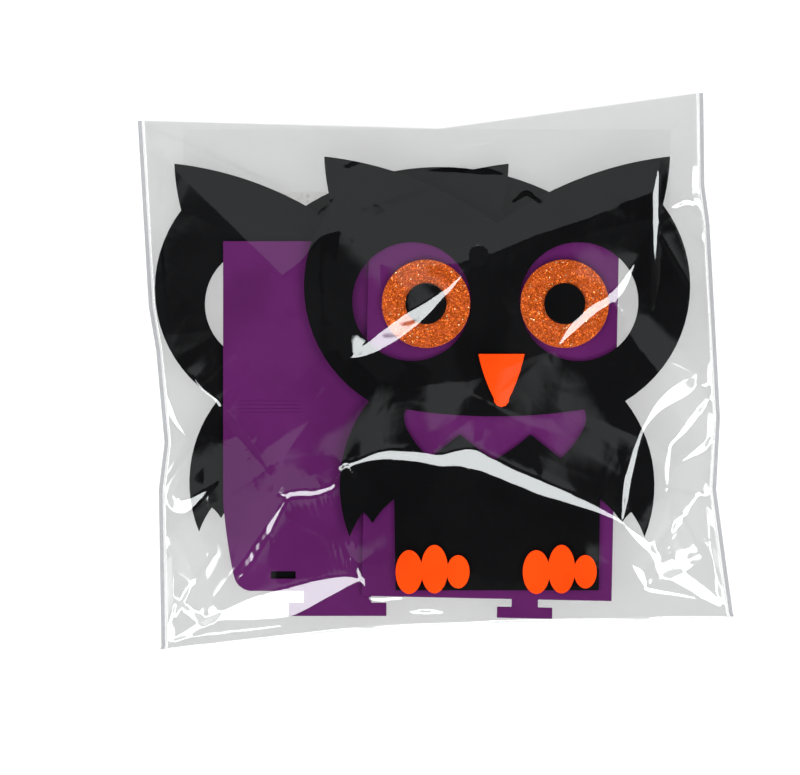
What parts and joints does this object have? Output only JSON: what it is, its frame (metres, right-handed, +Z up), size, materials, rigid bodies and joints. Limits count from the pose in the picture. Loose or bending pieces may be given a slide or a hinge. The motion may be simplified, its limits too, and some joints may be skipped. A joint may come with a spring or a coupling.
{
  "type": "owl puppet craft kit",
  "caption": "Flat-packed owl puppet kit: die-cut foam owls on lock-tab panels with an arched handle, lying in a clear self-seal film bag with a vent hole.",
  "frame": {"origin": "middle of the bag's bounding rectangle, on the surface that the bag lies on", "axes": "+X along the bag's width to the right of the owls' faces, +Y towards the bag's mouth and the ears, +Z up out of the front sheet"},
  "size_m": [0.2284, 0.212, 0.0132],
  "materials": {
    "film": "thin clear crinkled film",
    "weld": "heat-sealed clear film",
    "adhesive": "clear pressure-sensitive tape",
    "black_foam": "smooth black craft foam",
    "purple_foam": "smooth purple craft foam",
    "orange_foam": "bright orange craft foam",
    "glitter_foam": "orange glitter-faced craft foam"
  },
  "bodies": {
    "bag": {"bag_back": "film", "bag_front": "film", "bottom_fold": "film", "side_seam_left": "weld", "side_seam_right": "weld"},
    "flap": {"bag_flap": "film", "flap_adhesive": "adhesive"},
    "front_puppet": {"front_owl": "black_foam", "front_panel": "purple_foam", "front_beak": "orange_foam", "front_eye_ring_left": "glitter_foam", "front_pupil_left": "black_foam", "front_foot_left": "orange_foam", "front_eye_ring_right": "glitter_foam", "front_pupil_right": "black_foam", "front_foot_right": "orange_foam"},
    "back_puppet": {"back_owl": "black_foam", "back_panel": "purple_foam", "back_beak": "orange_foam", "back_eye_ring_left": "glitter_foam", "back_pupil_left": "black_foam", "back_foot_left": "orange_foam", "back_eye_ring_right": "glitter_foam", "back_pupil_right": "black_foam", "back_foot_right": "orange_foam"},
    "handle": {"carry_handle": "black_foam"}
  },
  "joints": [
    {"name": "flap_hinge", "type": "hinge", "parent": "bag", "child": "flap", "pos_m": [0, 0.0926, 0.0003], "axis": [1, 0, 0], "range_deg": [0, 180]},
    {"name": "front_puppet_slide", "type": "slide", "parent": "bag", "child": "front_puppet", "axis": [0, 1, 0], "range_m": [0, 0.22]},
    {"name": "back_puppet_slide", "type": "slide", "parent": "bag", "child": "back_puppet", "axis": [0, 1, 0], "range_m": [0, 0.22]},
    {"name": "handle_slide", "type": "slide", "parent": "bag", "child": "handle", "axis": [0, 1, 0], "range_m": [0, 0.22]}
  ]
}
